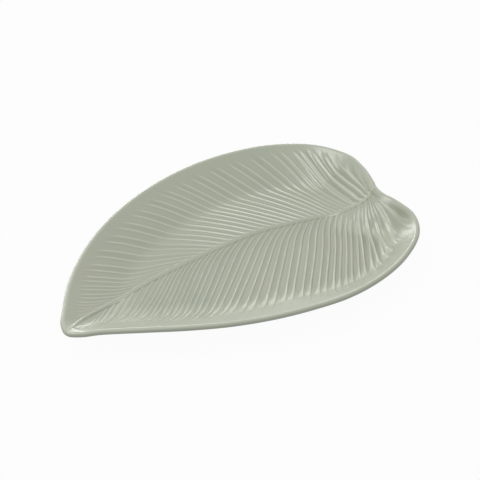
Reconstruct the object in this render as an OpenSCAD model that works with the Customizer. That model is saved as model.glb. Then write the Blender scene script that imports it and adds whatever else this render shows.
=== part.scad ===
// Leaf-shaped stoneware platter: a pressed clay body with raised veins, coated in glaze above and below.
// The tip points along -X and the notch between the two lobes along +X. Z is up from the table.

/* [Leaf] */
// Length from the tip to the end of the lobes
plate_l = 350; // [310:1:410]
// Reach of the left half beside the line from the tip to the notch
left_w = 127; // [114:1:146]
// Reach of the right half beside the same line
right_w = 107; // [92:1:124]

/* [Dish] */
// Depth from the crest of the rim to the floor
dish_depth = 22.5; // [17:0.5:25]
// Slope of the wall, in degrees
wall_slope = 30; // [27:1:36]
// Width of the curve between the wall and the floor
blend_w = 9; // [5:0.5:12]
// Thickness of the rounded rim, glaze included
rim_t = 5; // [4:0.1:6.5]
// Thickness of the floor, glaze on its upper face included
floor_t = 6; // [4.5:0.1:8]

/* [Foot ring] */
// Height of the bare foot ring under the floor
foot_h = 2.5; // [1.5:0.1:4]
// Width of the face that the platter stands on
foot_w = 6; // [3:0.5:8]
// Slant of each side of the foot ring
foot_slant = 0.8; // [0.4:0.1:1.5]
// Bare clay left between the glaze and the foot ring
bare_w = 1; // [0.5:0.1:2]

/* [Veins] */
// Pairs of raised side veins on each half
vein_pairs = 24; // [18:1:26]
// Height of a side vein above the blade beside it
vein_h = 1; // [0.5:0.1:1.6]
// Height of the midrib above the floor
midrib_h = 0.9; // [0.5:0.1:2]
// Width of the midrib
midrib_w = 6; // [4:0.5:9]

/* [Glaze] */
// Thickness of the glaze
glaze_t = 0.5; // [0.3:0.05:0.8]

/* [Hidden] */

// Outline of the rim, as shares of the length and of the reach of each half.
// It runs from the tip along the left half to the notch, then back along the right half.
left_shares = [
    [0.001, -0.032], [0.0075, 0.066], [0.0325, 0.165], [0.107, 0.408], [0.195, 0.616], [0.2935, 0.783],
    [0.4005, 0.903], [0.5135, 0.976], [0.6285, 0.998], [0.7435, 0.96], [0.8525, 0.858], [0.946, 0.673],
    [0.9955, 0.432], [0.996, 0.24], [0.979, 0.069]
];
right_shares = [
    [0.967, -0.021], [0.9655, -0.136], [0.9735, -0.253], [0.9735, -0.49], [0.9305, -0.718], [0.8405, -0.893],
    [0.74, -0.982], [0.637, -0.998], [0.5345, -0.94], [0.435, -0.847], [0.339, -0.717], [0.2485, -0.556],
    [0.161, -0.376], [0.075, -0.198], [0.0285, -0.123]
];
// Path of the midrib between the tip and the notch, as shares of the length and of the left reach
midrib_shares = [
    [0.058, 0.06], [0.13, 0.142], [0.215, 0.212], [0.315, 0.255], [0.43, 0.275], [0.545, 0.274],
    [0.645, 0.255], [0.73, 0.201], [0.8, 0.143], [0.855, 0.075], [0.895, 0.002], [0.93, -0.031]
];

// Twelve places along the fan of veins, from the tip to the notch. A vein leaves the midrib at the first
// share, reaches the rim of its half at the next, and its ends point at the angles below.
left_leave_shares = [0.076, 0.171, 0.342, 0.455, 0.554, 0.679, 0.79, 0.883, 0.933, 0.971, 0.986, 0.995];
right_leave_shares = [0.08, 0.181, 0.338, 0.446, 0.563, 0.686, 0.778, 0.856, 0.93, 0.963, 0.978, 0.993];
left_reach_shares = [0, 0.061, 0.105, 0.167, 0.276, 0.398, 0.515, 0.633, 0.763, 0.848, 0.97, 1];
right_reach_shares = [0, 0.042, 0.064, 0.13, 0.192, 0.286, 0.414, 0.532, 0.625, 0.766, 0.91, 1];
left_start_angles = [10, -1, -1, 7, 48, 58, 63, 80, 93, 112, 110, 85];
right_start_angles = [40, 44, 53, 42, 33, 41, 48, 71, 70, 100, 128, 120];
left_end_angles = [60, 54, 11, -7, -13, 3, 41, 55, 78, 124, 134, 132];
right_end_angles = [43, 38, 16, 9, 10, 33, 49, 73, 74, 106, 147, 133];
start_pull_share = 0.3;
end_pull_share = 0.25;
// The rows straighten over this part of the fan, up to the tip
tip_straight_share = 0.08;

// Where the first and the last pair of veins lie in the fan
first_vein_share = 0.075;
last_vein_share = 0.8685;
// Gap between the two veins of a pair, at the midrib and at the rim, as a share of the step to the next pair
inner_gap_share = 0.5;
outer_gap_share = 0.42;
// Heights as shares of the height of a vein
groove_share = -0.3;
blade_share = 0.15;
// Places without veins, before the first and after the last pair
tip_margin_shares = [0, 0.3, 0.65];
notch_margin_shares = [0.25, 0.5, 0.7, 0.88, 1];
// Height of the veins along the fan, as shares of the height of a vein
vein_height_shares = [0.3, 0.5, 0.7, 0.85, 1, 1, 1, 1.05, 1.2, 1.4, 1.3, 0.2];
// Height of the midrib at the tip, as a share of its full height, and where along it that is reached
midrib_tip_share = 0.4;
midrib_full_share = 0.35;
// Plain band below the rim along the fan, as shares of the thickness of the rim
left_plain_shares = [1.4, 1.4, 1.4, 1.4, 1.4, 1.4, 1.4, 1.3, 1.1, 0.9, 0.7, 0.6];
right_plain_shares = [1.8, 2.5, 3, 3.4, 3.3, 3.2, 3.1, 2.7, 1.8, 1.3, 0.9, 0.6];

// The wall narrows round the right lobe to this share of its width, between two places along the leaf
// and over this share of the right reach
lobe_wall_share = 0.62;
lobe_from_share = 0.515;
lobe_to_share = 0.843;
lobe_side_share = 0.42;

// Spans of one spline step, and samples along a vein
spline_steps = 8;
samples = 16;
// Short steps that find the direction of the rim, and of a row where it leaves the midrib
rim_step = 0.002;
foot_step = 0.04;
// Part of the way to the middle that the wall takes up where the leaf is narrow
wall_reach_share = 0.95;

rim_r = rim_t / 2;
floor_z = foot_h + floor_t;
lip_z = floor_z + dish_depth - rim_r;
lip_d = rim_r * (1 + sin(wall_slope));
// Plan width of the wall, and how far in from the rim the floor is flat
wall_w = (dish_depth - rim_r + rim_r * cos(wall_slope)) / tan(wall_slope);
floor_d = lip_d + wall_w + blend_w / 2;
// Width over which the veins rise out of the plain band below the rim
rise_w = rim_t * 2;
// Radius that rounds the meeting of the two walls in the tip half of the leaf
meet_r = rim_t;
meet_full_share = 0.35;
meet_end_share = 0.6;

// Distances in from the rim: end of the glaze on the flank, and the edges of the foot ring
glaze_end_d = floor_d;
foot_out_d = glaze_end_d + bare_w;
foot_in_d = foot_out_d + foot_w + 2 * foot_slant;
base_glaze_d = foot_in_d + bare_w;
// Distances in from the rim at which the wall and the flank have their rings
wall_shares = [0, 0.16, 0.42, 0.72, 0.9, 1];
flank_shares = [0.3, 0.75, 1];
// Where the rows of the underside end on the line from the tip to the notch
base_end_shares = [0.38, 0.388, 0.4, 0.42, 0.455, 0.495, 0.55, 0.61, 0.67, 0.71, 0.74, 0.76];

function spline(p0, p1, p2, p3, t) =
    (2 * p1 + (p2 - p0) * t + (2 * p0 - 5 * p1 + 4 * p2 - p3) * t * t
     + (3 * p1 - p0 - 3 * p2 + p3) * t * t * t) / 2;
function closed_spline(p, n) = [
    for (i = [0 : len(p) - 1])
        for (k = [0 : n - 1])
            spline(p[(i + len(p) - 1) % len(p)], p[i], p[(i + 1) % len(p)], p[(i + 2) % len(p)], k / n)
];
function open_spline(p, n) = [
    for (i = [0 : len(p) - 2])
        for (k = [0 : (i == len(p) - 2 ? n : n - 1)])
            spline(i == 0 ? 2 * p[0] - p[1] : p[i - 1], p[i], p[i + 1],
                   i == len(p) - 2 ? 2 * p[i + 1] - p[i] : p[i + 2], k / n)
];
function smooth(t) = let (c = max(0, min(1, t))) c * c * (3 - 2 * c);
function blend(a, b, t) = a + (b - a) * t;
function turn_left(v) = [-v[1], v[0]];
function unit(v) = v / norm(v);

// A line sampled as [share of its length, x, y] in two lookup tables
function lengths(p) =
    [for (k = 0, s = 0; k < len(p); s = s + (k + 1 < len(p) ? norm(p[k + 1] - p[k]) : 0), k = k + 1) s];
function table(p) = let (s = lengths(p), total = s[len(s) - 1])
    [for (axis = [0, 1]) [for (k = [0 : len(p) - 1]) [s[k] / total, p[k][axis]]]];
function at(tab, share) = [lookup(share, tab[0]), lookup(share, tab[1])];

outline = closed_spline(concat([for (q = left_shares) [q[0] * plate_l, q[1] * left_w]],
                               [for (q = right_shares) [q[0] * plate_l, q[1] * right_w]]), spline_steps);
left_count = len(left_shares) * spline_steps;
left_rim = [for (k = [0 : left_count]) outline[k]];
right_rim = [for (k = [left_count : len(outline)]) outline[k % len(outline)]];
rim_table = table(concat(outline, [outline[0]]));
left_part = rim_table[0][left_count][0];

// A place on the rim, as a share of its whole length, from a share of one half counted from the tip
function rim_place(side, share) = side > 0 ? share * left_part : 1 - share * (1 - left_part);
function rim_at(place) = at(rim_table, place - floor(place));
// Unit vector that points inwards, square to the rim
function inward(place) = -turn_left(unit(rim_at(place + rim_step) - rim_at(place - rim_step)));
function rim_point(side, share, d) =
    let (place = rim_place(side, max(0, min(1, share)))) rim_at(place) + inward(place) * d;

midrib_places = concat([rim_point(1, 0, lip_d)], [for (q = midrib_shares) [q[0] * plate_l, q[1] * left_w]],
                       [rim_point(1, 1, lip_d)]);
midrib = open_spline(midrib_places, spline_steps);
midrib_table = table(midrib);

// Value at a place in the fan, from a list of evenly spaced values
function fan(values, v) =
    let (n = len(values) - 1, u = max(0, min(n, v * n)), i = min(n - 1, floor(u)))
    spline(i == 0 ? 2 * values[0] - values[1] : values[i - 1], values[i], values[i + 1],
           i == n - 1 ? 2 * values[n] - values[n - 1] : values[i + 2], u - i);
function heading(side, angle) = [-cos(angle), side * sin(angle)];
// Point on a row of the fan: t is 0 on the midrib and 1 at the lip of the rim
function leave_share(side, v) = fan(side > 0 ? left_leave_shares : right_leave_shares, v);
function row_point(side, v, t) =
    let (p0 = at(midrib_table, leave_share(side, v)),
         p3 = rim_point(side, fan(side > 0 ? left_reach_shares : right_reach_shares, v), lip_d),
         pull = norm(p3 - p0) * smooth(v / tip_straight_share),
         start = heading(side, fan(side > 0 ? left_start_angles : right_start_angles, v)),
         end = heading(side, fan(side > 0 ? left_end_angles : right_end_angles, v)),
         p1 = p0 + start * pull * start_pull_share,
         p2 = p3 - end * pull * end_pull_share,
         s = 1 - t)
    s * s * s * p0 + 3 * s * s * t * p1 + 3 * s * t * t * p2 + t * t * t * p3;

// Distance of a point from one half of the rim, and from both with their meeting rounded
function half_distance(p, rim) =
    let (all = [for (q = rim) norm(p - q)],
         i = search(min(all), all)[0],
         along = rim[min(len(rim) - 1, i + 1)] - rim[max(0, i - 1)],
         off = p - rim[i])
    i == 0 || i == len(rim) - 1 ? norm(off) : abs(off * turn_left(unit(along)));
function wall_width_share(p) =
    let (along = (p[0] / plate_l - lobe_from_share) / (lobe_to_share - lobe_from_share))
    1 - (1 - lobe_wall_share) * smooth(along) * smooth(-p[1] / right_w / lobe_side_share);
// Distance as on a wall of full width
function distance(p) =
    let (a = half_distance(p, left_rim), b = half_distance(p, right_rim), near = min(a, b),
         meet = 1 - smooth((p[0] / plate_l - meet_full_share) / (meet_end_share - meet_full_share)),
         d = near - meet * meet_r * ln(exp((near - a) / meet_r) + exp((near - b) / meet_r)))
    d > lip_d ? lip_d + (d - lip_d) / wall_width_share(p) : d;

// Heights of the two faces of the platter at a distance from the rim, glaze included
function soft_floor(line, level) =
    let (m = blend_w * tan(wall_slope) / 4) level + m * ln(1 + exp((line - level) / m));
function upper_z(d) =
    soft_floor(lip_z + rim_r * cos(wall_slope) - (d - lip_d) * tan(wall_slope), floor_z);
function lower_z(d) =
    let (start = rim_r * (1 - sin(wall_slope)))
    soft_floor(lip_z - rim_r * cos(wall_slope) - (d - start) * tan(wall_slope), foot_h);

// Rows of the fan: [place at the midrib, place at the rim, height as a share of a vein's]
vein_step = (last_vein_share - first_vein_share) / (vein_pairs - 1);
fan_from = first_vein_share - vein_step / 2;
fan_to = last_vein_share + vein_step / 2;
rows = concat(
    [for (m = tip_margin_shares) [fan_from * m, fan_from * m, 0]],
    [for (k = [0 : vein_pairs - 1], kind = [-2 : 1])
        let (c = first_vein_share + k * vein_step)
        kind == -2 ? [c - vein_step / 2, c - vein_step / 2, blade_share]
        : kind == 0 ? [c, c, groove_share]
        : [c + (kind == -1 ? -1 : 1) * vein_step * inner_gap_share / 2,
           c + (kind == -1 ? -1 : 1) * vein_step * outer_gap_share / 2, 1]],
    [[fan_to, fan_to, blade_share]],
    [for (m = notch_margin_shares) [blend(fan_to, 1, m), blend(fan_to, 1, m), 0]]
);
last_row = len(rows) - 1;

function row_place(row, t) = blend(row[0], row[1], smooth(t));
// Places along one row, from the lip of the rim to the midrib. The wall is where the distance keeps growing.
function row_stops(side, row) =
    let (trial = [for (k = [0 : samples]) let (t = 1 - k / samples)
                     [distance(row_point(side, row_place(row, t), t)), t]],
         falls = [for (k = [0 : samples - 1]) if (trial[k + 1][0] < trial[k][0]) k],
         peak = len(falls) > 0 ? falls[0] : samples,
         wall_table = [for (k = [0 : peak]) trial[k]],
         reach = min(floor_d - lip_d, wall_reach_share * (trial[peak][0] - lip_d)),
         wall = [for (w = wall_shares) w == 0 ? 1 : lookup(lip_d + w * reach, wall_table)],
         inner = wall[len(wall) - 1],
         start = row_point(side, row[0], 0),
         off = row_point(side, row_place(row, foot_step), foot_step) - start,
         along = at(midrib_table, leave_share(side, row[0]) + foot_step) - start,
         away = abs(off * turn_left(unit(along))),
         foot = min(inner / 3, foot_step * midrib_w / 2 / away))
    concat(wall, [(inner + foot) / 2, foot]);
// Rise of the midrib and of the veins over the plain dish. The first and the last row run along the midrib.
function midrib_rise(share, d) =
    midrib_h * blend(midrib_tip_share, 1, smooth(share / midrib_full_share)) * smooth((d - lip_d) / rise_w);
function vein_rise(side, row, v, d) =
    let (plain_w = rim_t * fan(side > 0 ? left_plain_shares : right_plain_shares, v))
    v <= 0 || v >= 1 ? midrib_rise(v, d)
    : vein_h * row[2] * fan(vein_height_shares, v) * smooth((d - plain_w) / rise_w);
function row_line(side, row) =
    let (stops = row_stops(side, row))
    [for (k = [0 : len(stops) - 1])
        let (v = row_place(row, stops[k]),
             p = row_point(side, v, stops[k]),
             d = k == 0 ? lip_d : max(lip_d, distance(p)))
        [p[0], p[1], upper_z(d) + vein_rise(side, row, v, d)]];

left_lines = [for (row = rows) row_line(1, row)];
right_lines = [for (j = [0 : last_row]) j == 0 || j == last_row ? left_lines[j] : row_line(-1, rows[j])];
// Crest of the midrib, where the rows of both halves meet
crests = [for (row = rows)
    let (share = (leave_share(1, row[0]) + leave_share(-1, row[0])) / 2,
         p = at(midrib_table, share),
         d = max(lip_d, distance(p)))
    [p[0], p[1], upper_z(d) + midrib_rise(share, d)]];

// The rows in a ring round the rim: up the left half, then back down the right half
ring = concat([for (j = [0 : last_row]) [1, j]], [for (j = [last_row - 1 : -1 : 1]) [-1, j]]);
ring_count = len(ring);
function ring_share(q) =
    fan(q[0] > 0 ? left_reach_shares : right_reach_shares, rows[q[1]][1]);
function ring_line(q) = q[0] > 0 ? left_lines[q[1]] : right_lines[q[1]];
// A place on the section of the lip: the angle turns from the wall over the crest to the flank
function lip_point(q, angle, grow) =
    let (r = rim_r + grow, p = rim_point(q[0], ring_share(q), rim_r + r * cos(angle)))
    [p[0], p[1], lip_z + r * sin(angle)];

// Underside: straight rows run from the rim to the line between the tip and the notch
function base_end(q) =
    blend(rim_point(1, 0, 0), rim_point(1, 1, 0), fan(base_end_shares, rows[q[1]][0]));
function base_row(q) =
    let (p0 = rim_point(q[0], ring_share(q), lip_d), p1 = base_end(q))
    [p0, p1, [for (k = [0 : samples]) [k == 0 ? lip_d : distance(blend(p0, p1, k / samples)), k / samples]]];
base_rows = [for (q = ring) base_row(q)];
function base_point(j, d, z) =
    let (row = base_rows[j], p = blend(row[0], row[1], lookup(d, row[2])))
    [p[0], p[1], z];

// Shifts the middle of the outline to the origin
xs = [for (p = outline) p[0]];
ys = [for (p = outline) p[1]];
middle = [-(max(xs) + min(xs)) / 2, -(max(ys) + min(ys)) / 2, 0];

wall_rings = len(wall_shares) + 2;
lip_angles = [90, 90 + wall_slope, 180, 270 - wall_slope];

// Closed loops of points round the platter, each a given depth below the outer face of the glaze
function wall_loop(k, down) =
    [for (q = ring) let (p = ring_line(q)[k])
        k == 0 ? lip_point(q, 90 - wall_slope, -down) : [p[0], p[1], p[2] - down]];
function lip_loop(angle, down) = [for (q = ring) lip_point(q, angle, -down)];
function flank_loop(share, up) =
    [for (j = [0 : ring_count - 1])
        let (d = blend(rim_r, glaze_end_d, share)) base_point(j, d, lower_z(d) + up)];
function level_loop(d, z) = [for (j = [0 : ring_count - 1]) base_point(j, d, z)];
// Points on the two lines that close the faces: the crest of the midrib and the middle of the base
function crest_points(down) = [for (p = crests) [p[0], p[1], p[2] - down]];
function base_points(z) =
    [for (j = [0 : last_row]) let (p = base_end([1, j])) [p[0], p[1], z]];

// The loops of the glazed surface, from beside the midrib over the lip to the end of the glaze on the flank
function surface_loops(down) = concat(
    [for (k = [wall_rings - 1 : -1 : 0]) wall_loop(k, down)],
    [for (angle = lip_angles) lip_loop(angle, down)],
    [for (share = flank_shares) flank_loop(share, down)]
);
function flat(lists) = [for (part = lists) each part];

// Triangles between two loops, and between a loop and the points of a line. Each is turned over by swapping.
function between(a, b) =
    [for (j = [0 : ring_count - 1])
        let (n = (j + 1) % ring_count) each [[a + j, b + j, a + n], [a + n, b + j, b + n]]];
function inside(a, line) =
    [for (j = [0 : ring_count - 1])
        let (n = (j + 1) % ring_count, row = ring[j][1], next = ring[n][1], c = line + row, e = line + next)
        each (next > row) == (2 * row < last_row) ? [[a + j, a + n, c], [a + n, e, c]]
        : [[a + j, a + n, e], [a + j, e, c]]];
function turned(faces) = [for (f = faces) [f[0], f[2], f[1]]];
function loops_between(first, count) =
    [for (k = [0 : count - 2]) each between(first + k * ring_count, first + (k + 1) * ring_count)];

module stoneware_body() {
    base_z = foot_h + glaze_t;
    loops = concat(surface_loops(glaze_t), [
        level_loop(foot_out_d, base_z), level_loop(foot_out_d + foot_slant, 0),
        level_loop(foot_in_d - foot_slant, 0), level_loop(foot_in_d, base_z)
    ]);
    last = (len(loops) - 1) * ring_count;
    crest = len(loops) * ring_count;
    floor_line = crest + last_row + 1;
    faces = concat(inside(0, crest), loops_between(0, len(loops)), turned(inside(last, floor_line)));
    color("tan") translate(middle)
        polyhedron(concat(flat(loops), crest_points(glaze_t), base_points(base_z)), faces);
}

module glaze_face() {
    outer = surface_loops(0);
    inner = surface_loops(glaze_t);
    count = len(outer);
    first = count * ring_count;
    crest = 2 * first;
    faces = concat(
        inside(0, crest), loops_between(0, count),
        between(first - ring_count, crest - ring_count),
        turned(loops_between(first, count)), turned(inside(first, crest + last_row + 1))
    );
    color("darkseagreen") translate(middle)
        polyhedron(concat(flat(outer), flat(inner), crest_points(0), crest_points(glaze_t)), faces);
}

module glaze_base() {
    base_z = foot_h + glaze_t;
    loops = concat(level_loop(base_glaze_d, base_z), level_loop(base_glaze_d, foot_h));
    crest = 2 * ring_count;
    lower = crest + last_row + 1;
    faces = concat(inside(0, crest), between(0, ring_count), turned(inside(ring_count, lower)));
    color("darkseagreen") translate(middle)
        polyhedron(concat(loops, base_points(base_z), base_points(foot_h)), faces);
}

stoneware_body();
glaze_face();
glaze_base();
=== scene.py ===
"""Leaf-shaped stoneware platter in sage glaze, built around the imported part.

The frame's +X runs from the tip to the notch, +Z up from the table. Shapes are worked out in
millimetres on the part's own layout and written to the meshes in metres. Every surface is a stack of
closed loops round the leaf. A table keyed 1 and -1 holds a value for the left half, on the side of +Y,
and one for the right.
"""
import math

import bpy
import numpy as np
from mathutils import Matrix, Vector

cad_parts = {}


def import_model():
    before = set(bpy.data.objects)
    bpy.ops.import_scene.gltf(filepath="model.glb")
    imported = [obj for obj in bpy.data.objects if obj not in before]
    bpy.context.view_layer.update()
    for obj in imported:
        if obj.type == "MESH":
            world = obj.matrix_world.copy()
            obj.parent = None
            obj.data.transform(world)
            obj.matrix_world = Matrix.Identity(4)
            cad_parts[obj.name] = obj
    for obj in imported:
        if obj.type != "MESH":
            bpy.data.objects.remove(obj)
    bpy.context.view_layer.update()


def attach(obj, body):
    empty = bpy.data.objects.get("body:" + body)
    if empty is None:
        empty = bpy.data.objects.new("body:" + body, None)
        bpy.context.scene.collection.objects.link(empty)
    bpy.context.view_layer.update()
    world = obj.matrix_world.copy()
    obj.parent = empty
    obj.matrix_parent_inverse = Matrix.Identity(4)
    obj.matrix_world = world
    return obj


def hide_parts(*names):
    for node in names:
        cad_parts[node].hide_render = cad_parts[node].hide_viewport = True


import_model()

MM = 0.001

# The part's own driving sizes, in millimetres
LENGTH = 350.0
LEFT_W = 127.0
RIGHT_W = 107.0
DISH_DEPTH = 22.5
WALL_SLOPE = math.radians(30)
BLEND_W = 9.0
RIM_T = 5.0
FLOOR_T = 6.0
FOOT_H = 2.5
FOOT_W = 6.0
FOOT_SLANT = 0.8
BARE_W = 1.0
GLAZE_T = 0.5

# Raised veins. Their height on the wall is a share of that on the floor.
VEIN_PAIRS = 24
VEIN_H = {1: 0.72, -1: 1.05}
WALL_VEIN_SHARE = {1: 0.75, -1: 0.35}
VEIN_HALF_W = {1: 0.85, -1: 0.7}
# From this place in the fan on, the veins widen towards those of the lobes
LOBE_HALF_W = 2.1
WIDE_FROM, WIDE_OVER = 0.7, 0.2
# A right vein bends towards the notch by HOOK_L before it meets the midrib, over HOOK_T of its length.
# The bend grows in from the tip and dies out before the notch.
HOOK_L = 8.0
HOOK_T = 0.22
HOOK_IN, HOOK_OUT = 0.15, 0.25
# Both halves' rows slide to a common place on the midrib over this width
JOIN_W = 7.0

# The midrib, from the tip to the notch: share of its length, then half width or rise in millimetres.
# A thin rail stands along its left side and a shallow trench runs along its right.
MIDRIB_HALF_W = ((0, 0.15, 0.45, 0.8, 1), (0.9, 1.3, 2.5, 2.2, 1.4))
MIDRIB_RISE = ((0, 0.2, 0.5, 1), (0.7, 0.55, 0.45, 0.6))
RAIL_H = 0.3
RAIL_W = 0.55
RAIL_AT = 0.95
TRENCH = 0.22
TRENCH_AT, TRENCH_HALF_W = 1.3, 0.35
# Both have this share of their height at the tip, and all of it from this share of the midrib on
EDGE_AT_TIP, EDGE_FULL_AT = 0.4, 0.35
# The crest starts to fall off here and falls over this width, in its half widths. All of it fades in
# from the lip over CREST_FADE.
CREST_FLAT, CREST_FALL = 0.5, 0.6
CREST_FADE = 9.0

# The wall is narrower round the right lobe
LOBE_WALL_SHARE = 0.62
LOBE_FROM, LOBE_OVER, LOBE_SIDE = 180.0, 115.0, 45.0
# Near the tip the walls of the two halves meet in a round, which ends over this share of the length
MEET_TO, MEET_OVER = 0.35, 0.25

# Outline of the rim: shares of the length and of each half's reach, from the tip round to the tip
LEFT = np.array([
    (0.001, -0.032), (0.0075, 0.066), (0.0325, 0.165), (0.107, 0.408), (0.195, 0.616), (0.2935, 0.783),
    (0.4005, 0.903), (0.5135, 0.976), (0.6285, 0.998), (0.7435, 0.96), (0.8525, 0.858), (0.946, 0.673),
    (0.9955, 0.432), (0.996, 0.24), (0.979, 0.069)])
RIGHT = np.array([
    (0.967, -0.021), (0.9655, -0.136), (0.9735, -0.253), (0.9735, -0.49), (0.9305, -0.718), (0.8405, -0.893),
    (0.74, -0.982), (0.637, -0.998), (0.5345, -0.94), (0.435, -0.847), (0.339, -0.717), (0.2485, -0.556),
    (0.161, -0.376), (0.075, -0.198), (0.0285, -0.123)])
MIDRIB = np.array([
    (0.058, 0.06), (0.13, 0.142), (0.215, 0.212), (0.315, 0.255), (0.43, 0.275), (0.545, 0.274),
    (0.645, 0.255), (0.73, 0.201), (0.8, 0.143), (0.855, 0.075), (0.895, 0.002), (0.93, -0.031)])

# Twelve places along the fan of veins, from the tip to the notch: share of the midrib where a vein leaves
# it, share of the rim that it reaches, and its headings in degrees at either end
LEAVE = {1: (0.076, 0.171, 0.342, 0.455, 0.554, 0.679, 0.79, 0.883, 0.933, 0.971, 0.986, 0.995),
         -1: (0.08, 0.181, 0.338, 0.446, 0.563, 0.686, 0.778, 0.856, 0.93, 0.963, 0.978, 0.993)}
REACH = {1: (0, 0.061, 0.105, 0.167, 0.276, 0.398, 0.515, 0.633, 0.763, 0.848, 0.97, 1),
         -1: (0, 0.042, 0.064, 0.13, 0.192, 0.286, 0.414, 0.532, 0.625, 0.766, 0.91, 1)}
START = {1: (10, -1, -1, 7, 48, 58, 63, 80, 93, 112, 110, 85),
         -1: (40, 44, 53, 42, 33, 41, 48, 71, 70, 100, 128, 120)}
END = {1: (60, 54, 11, -7, -13, 3, 41, 55, 78, 124, 134, 132),
       -1: (43, 38, 16, 9, 10, 33, 49, 73, 74, 98, 115, 110)}
# Pull of a vein's curve at either end, as a share of its length. It grows in over the fan's start.
START_PULL = 0.3
END_PULL = 0.25
TIP_STRAIGHT = 0.08
# Places in the fan of the first and the last pair
FIRST_VEIN = 0.075
LAST_VEIN = 0.8685
LEAST_PITCH = 1.0           # where the veins run together, the pitch is taken as this
# The two veins of a pair stand this share of the pitch apart, at the midrib and at the rim
INNER_GAP = 0.5
OUTER_GAP = 0.42
# A vein's half width is at most this share of the gap, so its inner foot stays off the pair's middle, and
# its outer foot stays within this share of the pitch
CLEAR_SHARE = 0.2
FOOT_SHARE = 0.46
# Along the fan: height of the veins as a share of VEIN_H, and where the rows of the underside end on the
# straight line from the tip to the notch, as a share of it
VEIN_RISE = (0.4, 0.6, 0.8, 0.95, 1.1, 1, 1, 1.1, 1.4, 1.7, 1.6, 0.3)
BASE_END = (0.38, 0.388, 0.4, 0.42, 0.455, 0.495, 0.55, 0.61, 0.67, 0.71, 0.74, 0.76)

# Section of one vein: place across it in half widths, and its height on the floor and in a finger,
# both as shares of a vein's
FOOT_AT = 2.2
VEIN_SECTION = ((-FOOT_AT, -0.1, -0.2), (-1.25, 0.1, 0.55), (-0.6, 0.7, 0.95), (0.0, 1.0, 1.1),
                (0.6, 0.7, 0.95), (1.25, 0.1, 0.55), (FOOT_AT, -0.1, -0.2))
# The same two heights in the middle of a pair, and between pairs after the share of the way across
GROOVE = (-0.16, -0.3)
BLADE_SECTION = ((0.5, 0.0, -0.3), (1.0, 0.06, -0.9))
# Past this place in the fan, a pair whose pitch is narrower than this runs together into one fold
FOLD_FROM, FOLD_OVER = 0.68, 0.1
FOLD_PITCH, FOLD_SOFT = 12.5, 4.0
# In a fold the two veins stand closer by this share. Its heights are those of the pair's middle, of the
# veins' inner sides and of the groove between folds, and all of it is taller by FOLD_LIFT.
FOLD_CLOSE = 0.35
FOLD_CREST, FOLD_INSIDE, FOLD_GROOVE = 1.0, 0.9, -0.45
FOLD_LIFT = {1: 0.5, -1: 0.1}
# The veins rise out of the midrib's side over this band, in its half widths
VEIN_FOOT, VEIN_FOOT_SOFT = 0.8, 0.5
# The height wavers by this share, with these phases over the fan and per millimetre
WAVER_SHARE = 0.12
WAVES_IN_FAN = (37.1, 11.0)
WAVES_PER_MM = (0.05, 0.071)
# A vein narrower than its full width is lower by this power, and by less of it in a fold
NARROW_POWER, FOLD_POWER = 0.6, 0.4

RIM_R = RIM_T / 2
FLOOR_Z = FOOT_H + FLOOR_T
LIP_Z = FLOOR_Z + DISH_DEPTH - RIM_R
LIP_D = RIM_R * (1 + math.sin(WALL_SLOPE))
WALL_W = (DISH_DEPTH - RIM_R + RIM_R * math.cos(WALL_SLOPE)) / math.tan(WALL_SLOPE)
FLOOR_D = LIP_D + WALL_W + BLEND_W / 2
MEET_R = RIM_T              # round where the walls of the two halves meet
# Plain band below the rim, and the width over which the veins rise out of it, along the fan
FADE_AT = (0, 0.1, 0.3, 0.62, 0.8, 1)
PLAIN_W = {1: (7, 7, 7, 7, 5, 3), -1: (9, 13, 17, 15, 7, 3)}
FADE_W = {1: (11, 11, 11, 11, 10, 8), -1: (11, 12, 12, 10, 8, 6)}
# Distance from the rim at which the fingers of the right veins end, along the fan, how far they reach in
# over the floor, and the widths over which they die out at either end and grow in from the tip
FINGER_END = ((0, 0.45, 0.6, 0.8, 1), (23, 25, 37, 30, 12))
FINGER_INTO, FINGER_FADE, FINGER_SOFT = 12.0, 16.0, 8.0
FINGER_FROM, FINGER_OVER = 0.05, 0.1
# Glaze thinner over the rails, thicker in the trench and in the hollows by the notch. The fingers are
# painted paler, partly as thin glaze and partly as a painted highlight where the floor turns up
FINGER_THIN_AND_HIGHLIGHT = 1.1
RAIL_THIN, TRENCH_THIN = 0.9, -0.5
WALL_THIN_LOSS = 0.6
POOL_DEPTH = 0.9
# A pool starts just before the last vein, ends at the notch and stays off the rim
POOL_BEFORE, POOL_OVER, POOL_END = 0.01, 0.05, 0.04
POOL_FROM_RIM, POOL_SOFT = 5.0, 4.0


def smooth(t):
    c = np.clip(t, 0, 1)
    return c * c * (3 - 2 * c)


def spline(p0, p1, p2, p3, t):
    """Catmull-Rom value between p1 and p2."""
    return (2 * p1 + (p2 - p0) * t + (2 * p0 - 5 * p1 + 4 * p2 - p3) * t ** 2
            + (3 * p1 - p0 - 3 * p2 + p3) * t ** 3) / 2


def curve(points, steps, closed):
    """Samples a Catmull-Rom curve through the points."""
    p = np.asarray(points, float)
    if closed:
        p = np.concatenate([p[-1:], p, p[:2]])
    else:
        p = np.concatenate([2 * p[:1] - p[1:2], p, 2 * p[-1:] - p[-2:-1]])
    t = np.arange(steps)[:, None] / steps
    out = [spline(p[i], p[i + 1], p[i + 2], p[i + 3], t) for i in range(len(p) - 3)]
    if not closed:
        out.append(p[-2:-1])
    return np.concatenate(out)


def fan(values, v):
    """Value at place v of the fan, from a list of evenly spaced values."""
    a = np.asarray(values, float)
    n = len(a) - 1
    a = np.concatenate([[2 * a[0] - a[1]], a, [2 * a[-1] - a[-2]]])
    u = np.clip(np.asarray(v, float) * n, 0, n)
    i = np.minimum(n - 1, np.floor(u)).astype(int)
    return spline(a[i], a[i + 1], a[i + 2], a[i + 3], u - i)


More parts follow.
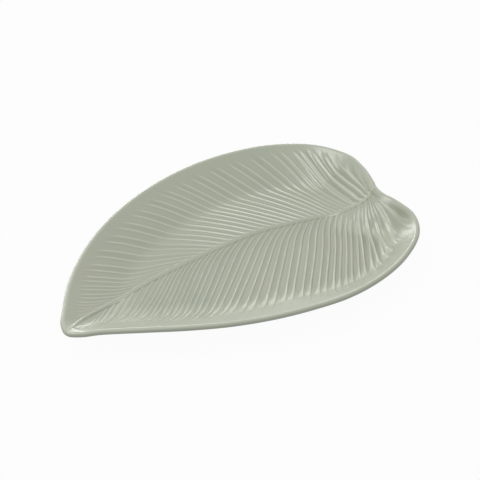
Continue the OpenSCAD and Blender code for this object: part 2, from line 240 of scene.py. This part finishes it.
class Line:
    """A sampled line, looked up by share of its length."""

    def __init__(self, points):
        self.p = points
        steps = np.linalg.norm(np.diff(points, axis=0), axis=1)
        self.s = np.concatenate([[0], np.cumsum(steps)])
        self.length = self.s[-1]
        self.s = self.s / self.length

    def at(self, share):
        return np.stack([np.interp(share, self.s, self.p[:, 0]), np.interp(share, self.s, self.p[:, 1])], -1)


STEPS = 24
outline = curve(np.concatenate([LEFT * (LENGTH, LEFT_W), RIGHT * (LENGTH, RIGHT_W)]), STEPS, closed=True)
LEFT_COUNT = len(LEFT) * STEPS
rim_line = Line(np.concatenate([outline, outline[:1]]))
LEFT_PART = rim_line.s[LEFT_COUNT]
HALVES = {1: outline[:LEFT_COUNT + 1], -1: np.concatenate([outline[LEFT_COUNT:], outline[:1]])}


def rim_place(side, share):
    share = np.clip(share, 0, 1)
    return share * LEFT_PART if side > 0 else 1 - share * (1 - LEFT_PART)


def inward(place):
    step = 0.002
    along = rim_line.at((place + step) % 1.0) - rim_line.at((place - step) % 1.0)
    along /= np.linalg.norm(along, axis=-1, keepdims=True)
    return np.stack([along[..., 1], -along[..., 0]], -1)


def rim_point(side, share, d):
    place = rim_place(side, np.asarray(share, float))
    return rim_line.at(place % 1.0) + inward(place) * np.asarray(d)[..., None]


midrib_points = np.concatenate([
    rim_point(1, 0.0, LIP_D)[None], MIDRIB * (LENGTH, LEFT_W), rim_point(1, 1.0, LIP_D)[None]])
midrib_line = Line(curve(midrib_points, STEPS, closed=False))
COARSE = 3                  # every third sample is enough to tell the distance from the midrib


def to_polyline(points, line):
    """Distance of each point from a polyline, a batch of points at a time."""
    a, b = line[:-1], line[1:]
    ab = b - a
    out = np.empty(len(points))
    batch = 4000
    for i in range(0, len(points), batch):
        p = points[i:i + batch, None]
        t = np.clip(((p - a) * ab).sum(-1) / (ab * ab).sum(-1), 0, 1)
        out[i:i + batch] = np.sqrt((((a + ab * t[..., None]) - p) ** 2).sum(-1).min(1))
    return out


def to_midrib(points):
    return to_polyline(points.reshape(-1, 2), midrib_line.p[::COARSE]).reshape(points.shape[:-1])


def rim_distance(points):
    """Distance from the rim, as on a wall of full width, with the meeting of the two halves rounded."""
    flat = points.reshape(-1, 2)
    a, b = (to_polyline(flat, HALVES[side]) for side in (1, -1))
    near = np.minimum(a, b)
    meet = 1 - smooth((flat[:, 0] / LENGTH - MEET_TO) / MEET_OVER)
    d = near - meet * MEET_R * np.log(np.exp((near - a) / MEET_R) + np.exp((near - b) / MEET_R))
    lobe = smooth((flat[:, 0] - LOBE_FROM) / LOBE_OVER) * smooth(-flat[:, 1] / LOBE_SIDE)
    wall_share = 1 - (1 - LOBE_WALL_SHARE) * lobe
    d = np.where(d > LIP_D, LIP_D + (d - LIP_D) / wall_share, d)
    return d.reshape(points.shape[:-1])


def soft_floor(line, level):
    """Height of a falling wall line that turns into a level floor over the blend's width."""
    m = BLEND_W * math.tan(WALL_SLOPE) / 4
    return level + m * np.logaddexp(0, (line - level) / m)


def upper_z(d):
    wall = LIP_Z + RIM_R * math.cos(WALL_SLOPE) - (d - LIP_D) * math.tan(WALL_SLOPE)
    return soft_floor(wall, FLOOR_Z)


def lower_z(d):
    start = RIM_R * (1 - math.sin(WALL_SLOPE))
    flank = LIP_Z - RIM_R * math.cos(WALL_SLOPE) - (d - start) * math.tan(WALL_SLOPE)
    return soft_floor(flank, FOOT_H)


def heading(side, degrees):
    a = np.radians(degrees)
    return np.stack([-np.cos(a), side * np.sin(a)], -1)


def leave_share(side, v, t):
    """Share of the midrib from which a row leaves. A right row bends towards the notch close to it."""
    if side > 0:
        hook = 0 * v
    else:
        hook = HOOK_L / midrib_line.length * smooth(v / HOOK_IN) * smooth((1 - v) / HOOK_OUT)
    return fan(LEAVE[side], v) + hook * np.clip(1 - t / HOOK_T, 0, 1) ** 2


def common_share(v):
    return (leave_share(1, v, 0 * v) + leave_share(-1, v, 0 * v)) / 2


def row_point(side, v, t):
    """Point of the fan: t is 0 on the midrib and 1 at the lip."""
    v, t = np.broadcast_arrays(np.asarray(v, float), np.asarray(t, float))
    p0 = midrib_line.at(fan(LEAVE[side], v))
    p3 = rim_point(side, fan(REACH[side], v), LIP_D)
    length = np.linalg.norm(p3 - p0, axis=-1)
    pull = length * smooth(v / TIP_STRAIGHT)
    p1 = p0 + heading(side, fan(START[side], v)) * (pull * START_PULL)[..., None]
    p2 = p3 - heading(side, fan(END[side], v)) * (pull * END_PULL)[..., None]
    s = 1 - t
    w = [x[..., None] for x in (s ** 3, 3 * s * s * t, 3 * s * t * t, t ** 3)]
    apart = common_share(v) - leave_share(side, v, 0 * v)
    join = apart * np.clip(1 - t * length / JOIN_W, 0, 1) ** 2
    slide = midrib_line.at(leave_share(side, v, t) + join) - p0
    return w[0] * p0 + w[1] * p1 + w[2] * p2 + w[3] * p3 + slide


VEIN_STEP = (LAST_VEIN - FIRST_VEIN) / (VEIN_PAIRS - 1)
FAN_FROM = FIRST_VEIN - VEIN_STEP / 2
FAN_TO = LAST_VEIN + VEIN_STEP / 2
TIP_ROWS, TIP_ROWS_TO = 8, 0.92
NOTCH_ROWS = 21
TABLE_V, TABLE_T = 120, 40
TINY = 1e-9
NUDGE = 1e-6


def fan_rows():
    """Rows of the fan, each of seven values.

    They are the centre of its pair, the side of the pair, the half widths off the vein, the share of the way
    to the next pair, and the heights on the floor, in a finger and in a fold.
    """
    rows = [(FAN_FROM * m, 0, 0, 0, 0, 0, 0) for m in np.linspace(0, TIP_ROWS_TO, TIP_ROWS)]
    for k in range(VEIN_PAIRS):
        c = FIRST_VEIN + k * VEIN_STEP
        rows += [(c, -1, 0, f, h, g, FOLD_GROOVE) for f, h, g in reversed(BLADE_SECTION)]
        rows += [(c, -1, x, 0, h, g, FOLD_INSIDE if x > 0 else h) for x, h, g in VEIN_SECTION]
        rows += [(c, 0, 0, 0, *GROOVE, FOLD_CREST)]
        rows += [(c, 1, x, 0, h, g, FOLD_INSIDE if x < 0 else h) for x, h, g in VEIN_SECTION]
        rows += [(c, 1, 0, f, h, g, FOLD_GROOVE) for f, h, g in BLADE_SECTION[:1]]
    rows += [(FAN_TO, 0, 0, 0, 0, 0, 0)]
    notch = np.linspace(0, 1, NOTCH_ROWS + 1)[1:]
    rows += [(FAN_TO + (1 - FAN_TO) * m, 0, 0, 0, 0, 0, 0) for m in notch]
    return rows


def pitch_table(side):
    """Spacing of the vein pairs, square to the veins, over the fan."""
    v = np.linspace(0, 1, TABLE_V + 1)[:, None]
    t = np.linspace(0, 1, TABLE_T + 1)[None]
    p = row_point(side, v, t)
    dv = np.gradient(p, axis=0) * TABLE_V * VEIN_STEP
    dt = np.gradient(p, axis=1)
    dt /= np.maximum(np.linalg.norm(dt, axis=-1, keepdims=True), TINY)
    return np.abs(dv[..., 0] * dt[..., 1] - dv[..., 1] * dt[..., 0])


def look_up(table, v, t):
    """Bilinear value of a table over the fan."""
    a = np.clip(v, 0, 1) * (table.shape[0] - 1)
    b = np.clip(t, 0, 1) * (table.shape[1] - 1)
    i = np.minimum(table.shape[0] - 2, a.astype(int))
    j = np.minimum(table.shape[1] - 2, b.astype(int))
    a, b = a - i, b - j
    return ((table[i, j] * (1 - a) + table[i + 1, j] * a) * (1 - b)
            + (table[i, j + 1] * (1 - a) + table[i + 1, j + 1] * a) * b)


def vein_half_w(side, v):
    plain = VEIN_HALF_W[side]
    return plain + (LOBE_HALF_W - plain) * smooth((v - WIDE_FROM) / WIDE_OVER)


def row_place(side, rows, table, t):
    """Place in the fan of every row at t, a vein's share of its full width, and how far a pair is a fold."""
    c, s, x, f = (rows[:, k:k + 1] for k in range(4))
    t = np.broadcast_to(t, (len(rows), np.shape(t)[-1]))
    c = np.broadcast_to(c, t.shape)
    gap = INNER_GAP + (OUTER_GAP - INNER_GAP) * smooth(t)
    pitch = np.maximum(look_up(table, c, t), LEAST_PITCH)
    fold = smooth((c - FOLD_FROM) / FOLD_OVER) * smooth((FOLD_PITCH - pitch) / FOLD_SOFT)
    gap = gap * (1 - FOLD_CLOSE * fold)
    full = vein_half_w(side, c)
    half = np.minimum(full, np.minimum(CLEAR_SHARE * gap, (FOOT_SHARE - gap / 2) / FOOT_AT) * pitch)
    u = s * gap / 2 + x * half / pitch
    foot = gap / 2 + FOOT_AT * half / pitch
    u = np.where(f > 0, s * (foot * (1 - f) + 0.5 * f), u)
    return c + VEIN_STEP * u, half / full, fold


# Stops along a row: shares of the way down the wall, even ones over the floor, and half widths off the
# middle of the midrib
WALL_STOPS = np.concatenate([
    np.linspace(0, 0.12, 4)[:-1], np.linspace(0.12, 0.5, 11)[:-1], np.linspace(0.5, 1, 16)])
INNER_COUNT = 20
MIDRIB_STOPS = np.array([2.2, 1.7, 1.35, 1.1, 0.95, 0.8, 0.6, 0.35, 0.0])
ROW_SAMPLES = 61
WALL_TO_PEAK = 0.95         # a row that never gets a full wall's width from the rim has its wall end here
MIDRIB_PART = 1 / 3         # the most of the way from the wall that the midrib's stops take up


def half_midrib(v):
    return np.interp(common_share(np.clip(v, 0, 1)), *MIDRIB_HALF_W)


def upper_side(side, rows):
    """Plan points, rim distances, rises and thinness of one half of the upper face: [row, stop]."""
    table = pitch_table(side)
    t = np.linspace(1, 0, ROW_SAMPLES)[None]
    place = row_place(side, rows, table, t)[0]
    p = row_point(side, place, np.broadcast_to(t, place.shape))
    d = rim_distance(p)
    x = to_midrib(p)
    half = half_midrib(rows[:, 0])
    stops = []
    for i in range(len(rows)):
        falls = np.nonzero(np.diff(d[i]) < 0)[0]
        peak = falls[0] if len(falls) else len(d[i]) - 1
        reach = min(FLOOR_D - LIP_D, WALL_TO_PEAK * (d[i, peak] - LIP_D))
        wall = np.interp(LIP_D + WALL_STOPS * reach, d[i, :peak + 1], t[0, :peak + 1])
        wall[0] = 1
        inner = wall[-1]
        # Walk from the midrib outwards to find how far along the row each distance from it lies
        out_x = np.maximum.accumulate(x[i, ::-1]) + np.arange(ROW_SAMPLES) * NUDGE
        foot = np.interp(half[i] * MIDRIB_STOPS, out_x, t[0, ::-1])
        foot = foot * min(1, inner * MIDRIB_PART / max(foot[0], NUDGE))
        between = np.linspace(inner, foot[0], INNER_COUNT + 2)[1:-1]
        stops.append(np.concatenate([wall, between, foot]))
    t = np.array(stops)
    place, width, fold = row_place(side, rows, table, t)
    p = row_point(side, place, t)
    d = np.maximum(rim_distance(p), LIP_D)
    d[:, 0] = LIP_D
    heights = (rows[:, k:k + 1] for k in (4, 5, 6))
    return p, d, *relief(side, p, d, place, width, fold, *heights)


def finger(side, v, d):
    """How far the right veins swell into rounded fingers, which end where the floor turns up."""
    if side > 0:
        return 0 * d
    over_floor = smooth((FLOOR_D + FINGER_INTO - d) / FINGER_FADE)
    below_rim = smooth((d - np.interp(v, *FINGER_END)) / FINGER_SOFT)
    return over_floor * below_rim * smooth((v - FINGER_FROM) / FINGER_OVER)


def waver(p, v):
    """A small even change of height along and across the veins, in waves of uneven length."""
    along = np.sin(WAVES_IN_FAN[0] * v + WAVES_PER_MM[0] * p[..., 0])
    across = np.sin(WAVES_PER_MM[1] * p[..., 1] + WAVES_IN_FAN[1] * v)
    return 1 + WAVER_SHARE * along * across


def relief(side, p, d, v, width, fold, on_floor, in_finger, in_fold):
    """Rise of the veins and the midrib over the plain dish, and how thin the glaze lies, from -1 to 1, with
    a painted highlight added over the fingers.
    """
    x = to_midrib(p)
    half = half_midrib(v)
    share = common_share(np.clip(v, 0, 1))
    swell = finger(side, v, d)
    height = on_floor + (in_finger - on_floor) * swell
    height = height + (in_fold - height) * fold
    plain, fade = (np.interp(v, FADE_AT, w[side]) for w in (PLAIN_W, FADE_W))
    shown = smooth((d - plain) / fade) * smooth((x - VEIN_FOOT * half) / (VEIN_FOOT_SOFT * half))
    on_wall = (1 - swell) * smooth((FLOOR_D - d) / BLEND_W)
    tall = VEIN_H[side] * (1 - (1 - WALL_VEIN_SHARE[side]) * on_wall) * (1 + FOLD_LIFT[side] * fold)
    tall = tall * fan(VEIN_RISE, np.clip(v, 0, 1)) * waver(p, v)
    vein = tall * height * shown * width ** (NARROW_POWER - FOLD_POWER * fold)

    if side > 0:
        edge, edge_h, edge_thin = (x - RAIL_AT * half) / RAIL_W, RAIL_H, RAIL_THIN
    else:
        edge, edge_h, edge_thin = (x - TRENCH_AT * half) / (TRENCH_HALF_W * half), -TRENCH, TRENCH_THIN
    edge = np.exp(-edge ** 2) * (EDGE_AT_TIP + (1 - EDGE_AT_TIP) * smooth(share / EDGE_FULL_AT))
    crest = np.interp(share, *MIDRIB_RISE) * (1 - smooth((x - CREST_FLAT * half) / (CREST_FALL * half)))
    crest = (crest + edge_h * edge) * smooth((d - LIP_D) / CREST_FADE)

    wall_thin = 1 if side > 0 else 1 - WALL_THIN_LOSS * on_wall
    # The fingers are made paler partly for thin glaze and partly as a painted highlight along the fillet
    thin = height * shown * wall_thin + edge_thin * edge + FINGER_THIN_AND_HIGHLIGHT * swell
    pool = smooth((v - LAST_VEIN + POOL_BEFORE) / POOL_OVER) * smooth((1 - v) / POOL_END)
    pool = pool * smooth((d - POOL_FROM_RIM) / POOL_SOFT)
    return vein + crest, np.clip(thin, -1, 1) - POOL_DEPTH * pool


rows = np.array(fan_rows(), float)
LAST = len(rows) - 1
left = upper_side(1, rows)
right = upper_side(-1, rows)
ring = [(1, j) for j in range(LAST + 1)] + [(-1, j) for j in range(LAST - 1, 0, -1)]
ring_side = np.array([q[0] for q in ring])
ring_row = np.array([q[1] for q in ring])
RING = len(ring)


def around(k):
    """One stop of every row, as a loop round the leaf: points, distances, rises and thinness."""
    on_left = (ring_side > 0)[:, None]
    both = [np.where(on_left, a[ring_row, k].reshape(RING, -1), b[ring_row, k].reshape(RING, -1))
            for a, b in zip(left, right)]
    both[0][0] = left[0][0, k]
    return both[0], both[1][:, 0], both[2][:, 0], both[3][:, 0]


def rows_at_rim(side):
    """Place on the rim that every row of a half reaches."""
    place = row_place(side, rows, pitch_table(side), np.ones(1))[0][:, 0]
    return rim_place(side, fan(REACH[side], place))


place_at_rim = np.where(ring_side > 0, rows_at_rim(1)[ring_row], rows_at_rim(-1)[ring_row])
rim_xy = rim_line.at(place_at_rim % 1.0)
rim_in = inward(place_at_rim)
box_middle = np.array([(outline[:, 0].max() + outline[:, 0].min()) / 2,
                       (outline[:, 1].max() + outline[:, 1].min()) / 2, 0])


def with_z(xy, z):
    return np.concatenate([xy, np.broadcast_to(z, (len(xy),))[:, None]], 1)


def lip_loop(angle, depth):
    r = RIM_R - depth
    return with_z(rim_xy + rim_in * (RIM_R + r * math.cos(angle)), LIP_Z + r * math.sin(angle))


def base_ends():
    """Points of the straight line from tip to notch on which the loops of the underside close up."""
    share = fan(BASE_END, rows[:, 0])
    a, b = rim_point(1, 0.0, 0.0), rim_point(1, 1.0, 0.0)
    return a + (b - a) * share[:, None]


BASE_SAMPLES = 41
base_line = base_ends()
base_from = rim_xy + rim_in * LIP_D
base_to = base_line[ring_row]
base_t = np.linspace(0, 1, BASE_SAMPLES)
base_d = rim_distance(base_from[:, None] + (base_to - base_from)[:, None] * base_t[None, :, None])
base_d[:, 0] = LIP_D


def base_loop(d, z):
    """Loop of the underside at a distance from the rim."""
    t = np.array([np.interp(d, np.maximum.accumulate(row), base_t) for row in base_d])
    return with_z(base_from + (base_to - base_from) * t[:, None], z)


LIP_LOOPS = 13
LIP_ANGLES = np.linspace(math.pi / 2 - WALL_SLOPE, 1.5 * math.pi - WALL_SLOPE, LIP_LOOPS)
FLANK_D = np.concatenate([np.linspace(7, 34, 7), np.linspace(37, FLOOR_D, 6)])
STOPS = left[0].shape[1]
LIP_THIN = 0.6


def surface_loops(depth):
    """Loops from beside the midrib, over the lip, to the end of the glaze on the flank."""
    loops, tint = [], []
    for k in range(STOPS - 2, 0, -1):
        xy, d, rise, thin = around(k)
        loops.append(with_z(xy, upper_z(d) + rise - depth))
        tint.append(thin)
    for angle in LIP_ANGLES:
        loops.append(lip_loop(angle, depth))
        tint.append(np.full(RING, LIP_THIN * max(0, math.sin(angle))))
    for d in FLANK_D:
        loops.append(base_loop(d, lower_z(d) + depth))
        tint.append(np.zeros(RING))
    return loops, tint


def crest_line(depth):
    """Top of the midrib, where the loops of the upper face close up."""
    p, d, rise, thin = (a[:, -1] for a in left)
    return with_z(p, upper_z(d) + rise - depth), thin


def between(a, b):
    """Quads between two loops whose first vertices are a and b."""
    j = np.arange(RING)
    n = (j + 1) % RING
    return np.stack([a + j, b + j, b + n, a + n], 1)


def inside(a, line):
    """Quads between a loop and the line that closes it."""
    j = np.arange(RING)
    n = (j + 1) % RING
    return np.stack([a + j, a + n, line + ring_row[n], line + ring_row[j]], 1)


def build(name, points, faces, tints, material):
    """A smooth mesh in metres from points and quads given in millimetres."""
    verts = (np.concatenate(points) - box_middle) * MM
    mesh = bpy.data.meshes.new(name)
    mesh.from_pydata(verts.tolist(), [], np.concatenate(faces).tolist())
    mesh.validate()
    mesh.update()
    mesh.polygons.foreach_set("use_smooth", [True] * len(mesh.polygons))
    layer = mesh.attributes.new("thin", "FLOAT", "POINT")
    layer.data.foreach_set("value", np.concatenate(tints).astype(np.float32))
    mesh.materials.append(material)
    piece = bpy.data.objects.new(name, mesh)
    bpy.context.scene.collection.objects.link(piece)
    return piece


def turned(faces):
    return faces[:, ::-1]


def glaze_face(material):
    """Skin of glaze over the upper face, the lip and the flank."""
    outer, tint_out = surface_loops(0.0)
    inner, tint_in = surface_loops(GLAZE_T)
    n_out, n_in = len(outer), len(inner)
    first = n_out * RING
    line = (n_out + n_in) * RING
    crest_out, thin_out = crest_line(0.0)
    crest_in, thin_in = crest_line(GLAZE_T)
    faces = [inside(0, line)]
    faces += [between(k * RING, (k + 1) * RING) for k in range(n_out - 1)]
    faces += [between((n_out - 1) * RING, first + (n_in - 1) * RING)]
    back = [between(first + k * RING, first + (k + 1) * RING) for k in range(n_in - 1)]
    faces += [turned(quads) for quads in back + [inside(first, line + LAST + 1)]]
    return build("sage_glaze_face", outer + inner + [crest_out, crest_in], faces,
                 tint_out + tint_in + [thin_out, thin_in], material)


BASE_Z = FOOT_H + GLAZE_T
FOOT_OUT = FLOOR_D + BARE_W
FOOT_IN = FOOT_OUT + FOOT_W + 2 * FOOT_SLANT
FOOT_EDGE_R = FOOT_SLANT * 0.5
# Side of the foot ring from the base to the table: share of the slant, and height
FOOT_SIDE = ((0, BASE_Z), (0.5, FOOT_EDGE_R), (0.7, 0.3 * FOOT_EDGE_R), (1, 0))


def clay_body(material):
    """The clay, with the foot ring that it stands on."""
    loops, tint = surface_loops(GLAZE_T)
    outer_side = [(FOOT_OUT + share * FOOT_SLANT, z) for share, z in FOOT_SIDE]
    inner_side = [(FOOT_IN - share * FOOT_SLANT, z) for share, z in reversed(FOOT_SIDE)]
    for d, z in outer_side + inner_side:
        loops.append(base_loop(d, z))
        tint.append(np.zeros(RING))
    n = len(loops)
    line = n * RING
    crest, thin = crest_line(GLAZE_T)
    faces = [inside(0, line)]
    faces += [between(k * RING, (k + 1) * RING) for k in range(n - 1)]
    faces += [turned(inside((n - 1) * RING, line + LAST + 1))]
    return build("stoneware_clay", loops + [crest, with_z(base_line, BASE_Z)], faces,
                 tint + [thin, np.zeros(LAST + 1)], material)


# Edge of the base's glaze, from the clay down: distance from its outer end, and height as a share of its own
BASE_EDGE = ((0, 1), (0, 0.5), (0.3 * 0.35, 0.15), (0.35, 0))


def glaze_base(material):
    """Skin of glaze on the base, inside the foot ring."""
    start = FOOT_IN + BARE_W
    loops = [base_loop(start + d, FOOT_H + share * GLAZE_T) for d, share in BASE_EDGE]
    n = len(loops)
    line = n * RING
    faces = [inside(0, line)]
    faces += [between(k * RING, (k + 1) * RING) for k in range(n - 1)]
    faces += [turned(inside((n - 1) * RING, line + LAST + 1))]
    lines = [with_z(base_line, BASE_Z), with_z(base_line, FOOT_H)]
    return build("sage_glaze_base", loops + lines, faces,
                 [np.zeros(RING)] * n + [np.zeros(LAST + 1)] * 2, material)


# Materials

def srgb(r, g, b):
    """Linear colour from the eight-bit values a screen shows."""
    def line(c):
        c /= 255
        return c / 12.92 if c <= 0.04045 else ((c + 0.055) / 1.055) ** 2.4
    return (line(r), line(g), line(b), 1)


class Nodes:
    """Short calls for a material's node tree."""

    def __init__(self, name):
        self.material = bpy.data.materials.new(name)
        self.material.use_nodes = True
        self.tree = self.material.node_tree
        self.shader = self.tree.nodes["Principled BSDF"]

    def add(self, kind, inputs=None, **settings):
        node = self.tree.nodes.new(kind)
        for key, value in settings.items():
            setattr(node, key, value)
        for key, value in (inputs or {}).items():
            if isinstance(value, bpy.types.NodeSocket):
                self.tree.links.new(value, node.inputs[key])
            else:
                node.inputs[key].default_value = value
        return node

    def noise(self, scale, detail=3.0, rough=0.5):
        at = self.add("ShaderNodeTexCoord").outputs["Object"]
        node = self.add("ShaderNodeTexNoise",
                        {"Vector": at, "Scale": scale, "Detail": detail, "Roughness": rough})
        return node.outputs["Fac"]

    def ramp(self, value, low, high, to_low=0.0, to_high=1.0):
        node = self.add("ShaderNodeMapRange", {"Value": value, "From Min": low, "From Max": high,
                                               "To Min": to_low, "To Max": to_high})
        return node.outputs["Result"]

    def mix(self, share, a, b):
        node = self.add("ShaderNodeMix", data_type="RGBA", clamp_factor=True)
        for key, value in ((0, share), (6, a), (7, b)):
            if isinstance(value, bpy.types.NodeSocket):
                self.tree.links.new(value, node.inputs[key])
            else:
                node.inputs[key].default_value = value
        return node.outputs[2]

    def bump(self, height, strength, distance, normal=None):
        inputs = {"Height": height, "Strength": strength, "Distance": distance}
        if normal is not None:
            inputs["Normal"] = normal
        return self.add("ShaderNodeBump", inputs).outputs["Normal"]

    def shade(self, **values):
        for key, value in values.items():
            socket = self.shader.inputs[key.replace("_", " ")]
            if isinstance(value, bpy.types.NodeSocket):
                self.tree.links.new(value, socket)
            else:
                socket.default_value = value
        return self.material


def sage_glaze(name):
    """Satin glaze: grey-green where it is even, olive where it pools, paler where it lies thin, and paler
    over the fingers as a painted highlight.
    """
    n = Nodes(name)
    place = n.add("ShaderNodeAttribute", attribute_name="thin").outputs["Fac"]
    pool = srgb(126, 130, 105)
    field = srgb(163, 171, 155)
    thin = srgb(190, 194, 177)
    cloud = n.mix(n.ramp(n.noise(14.0, 2.0), 0.35, 0.65), field, srgb(168, 172, 156))
    warm = n.mix(n.ramp(n.noise(55.0, 3.0), 0.4, 0.75, 0.0, 0.6), cloud, srgb(169, 171, 152))
    deep = n.mix(n.ramp(place, 0.0, -1.0), warm, pool)
    # Pale where the glaze lies thin; over the fingers this paleness is partly a painted highlight
    broken = n.mix(n.ramp(place, 0.3, 1.0), deep, thin)
    speck = n.mix(n.ramp(n.noise(900.0, 2.0), 0.68, 0.8, 0.0, 0.35), broken, srgb(132, 137, 116))
    skin = n.bump(n.noise(160.0, 2.0), 0.06, 0.0006)
    fine = n.bump(n.noise(1500.0, 2.0), 0.05, 0.0002, skin)
    satin = n.ramp(n.noise(40.0), 0.3, 0.7, 0.3, 0.36)
    return n.shade(Base_Color=speck, Roughness=satin, Normal=fine, IOR=1.52, Coat_Weight=0.25,
                   Coat_Roughness=0.2)


def bare_clay(name):
    n = Nodes(name)
    grain = n.noise(1300.0, 4.0, 0.7)
    body = n.mix(n.ramp(n.noise(25.0), 0.3, 0.7), srgb(203, 190, 168), srgb(188, 173, 150))
    sand = n.mix(n.ramp(grain, 0.6, 0.75, 0.0, 0.7), body, srgb(150, 130, 104))
    return n.shade(Base_Color=sand, Roughness=0.86, Normal=n.bump(grain, 0.35, 0.0004))


face = glaze_face(sage_glaze("sage_glaze_upper"))
base = glaze_base(sage_glaze("sage_glaze_under"))
clay = clay_body(bare_clay("bare_stoneware"))
for piece, node, slot in ((face, "glaze_face", "glaze_upper"), (base, "glaze_base", "glaze_under"),
                          (clay, "stoneware_body", "bare_clay")):
    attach(piece, "root")
    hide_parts(node)


# Floor, lights and camera

FLOOR_HALF = 6.0
FLOOR_GREY = 0.5
FLOOR_GLOW = 0.96
WORLD_LIGHT = 0.57


def floor():
    """Grey floor that takes the shadow, and looks white to the camera and in reflections."""
    mesh = bpy.data.meshes.new("floor")
    corners = [(x * FLOOR_HALF, y * FLOOR_HALF, 0) for x, y in ((-1, -1), (1, -1), (1, 1), (-1, 1))]
    mesh.from_pydata(corners, [], [(0, 1, 2, 3)])
    n = Nodes("pale_floor")
    n.shade(Base_Color=(FLOOR_GREY, FLOOR_GREY, FLOOR_GREY, 1), Roughness=0.9)
    out = n.tree.nodes["Material Output"]
    glow = n.add("ShaderNodeEmission", {"Color": (1, 1, 1, 1), "Strength": 1.0})
    path = n.add("ShaderNodeLightPath").outputs
    mirrored = n.add("ShaderNodeMath", {0: path["Is Glossy Ray"], 1: path["Is Transmission Ray"]},
                     operation="MAXIMUM")
    white = n.add("ShaderNodeMath", {0: path["Is Camera Ray"], 1: mirrored.outputs[0]}, operation="MAXIMUM")
    seen = n.add("ShaderNodeMath", {0: white.outputs[0], 1: FLOOR_GLOW}, operation="MULTIPLY")
    both = n.add("ShaderNodeMixShader", {0: seen.outputs[0], 1: n.shader.outputs[0], 2: glow.outputs[0]})
    n.tree.links.new(both.outputs[0], out.inputs["Surface"])
    mesh.materials.append(n.material)
    piece = bpy.data.objects.new("floor", mesh)
    bpy.context.scene.collection.objects.link(piece)


def world(strength):
    """Even light of the given strength, which looks white to the camera and in reflections."""
    w = bpy.data.worlds.new("studio")
    w.use_nodes = True
    tree = w.node_tree
    back = tree.nodes["Background"]
    path = tree.nodes.new("ShaderNodeLightPath")
    pick = tree.nodes.new("ShaderNodeMix")
    pick.inputs[2].default_value = strength
    pick.inputs[3].default_value = 1.0
    mirrored = tree.nodes.new("ShaderNodeMath")
    white = tree.nodes.new("ShaderNodeMath")
    mirrored.operation = white.operation = "MAXIMUM"
    tree.links.new(path.outputs["Is Glossy Ray"], mirrored.inputs[0])
    tree.links.new(path.outputs["Is Transmission Ray"], mirrored.inputs[1])
    tree.links.new(path.outputs["Is Camera Ray"], white.inputs[0])
    tree.links.new(mirrored.outputs[0], white.inputs[1])
    tree.links.new(white.outputs[0], pick.inputs[0])
    tree.links.new(pick.outputs[0], back.inputs["Strength"])
    back.inputs["Color"].default_value = (1, 1, 1, 1)
    bpy.context.scene.world = w


def direction(azimuth, elevation):
    """Unit vector from the part towards a viewer at that angle."""
    a, e = math.radians(azimuth), math.radians(elevation)
    return Vector((math.sin(a) * math.cos(e), -math.cos(a) * math.cos(e), math.sin(e)))


def softbox(name, azimuth, elevation, distance, width, height, power):
    """Rectangular lamp that faces the part's origin."""
    light = bpy.data.lights.new(name, "AREA")
    light.shape = "RECTANGLE"
    light.size, light.size_y, light.energy = width, height, power
    lamp = bpy.data.objects.new(name, light)
    away = direction(azimuth, elevation)
    lamp.location = away * distance
    lamp.visible_camera = False
    lamp.rotation_euler = (-away).to_track_quat("-Z", "Y").to_euler()
    bpy.context.scene.collection.objects.link(lamp)


VIEW_AZIMUTH = -36.3
VIEW_ELEVATION = 39.0
VIEW_DISTANCE = 1.7714
VIEW_TARGET = Vector((0.01656, 0.00055, 0.02994))
LENS, SENSOR = 150, 36


def camera():
    cam = bpy.data.cameras.new("camera")
    cam.lens, cam.sensor_width = LENS, SENSOR
    eye = bpy.data.objects.new("camera", cam)
    away = direction(VIEW_AZIMUTH, VIEW_ELEVATION)
    eye.location = VIEW_TARGET + away * VIEW_DISTANCE
    eye.rotation_euler = (-away).to_track_quat("-Z", "Y").to_euler()
    bpy.context.scene.collection.objects.link(eye)
    bpy.context.scene.camera = eye


floor()
world(WORLD_LIGHT)
softbox("key_light", azimuth=VIEW_AZIMUTH - 84, elevation=69, distance=1.5,
        width=0.65, height=0.65, power=9.5)
softbox("back_light", azimuth=VIEW_AZIMUTH + 200, elevation=9, distance=1.8,
        width=1.7, height=0.3, power=10)
camera()
bpy.context.scene.view_settings.view_transform = "Standard"
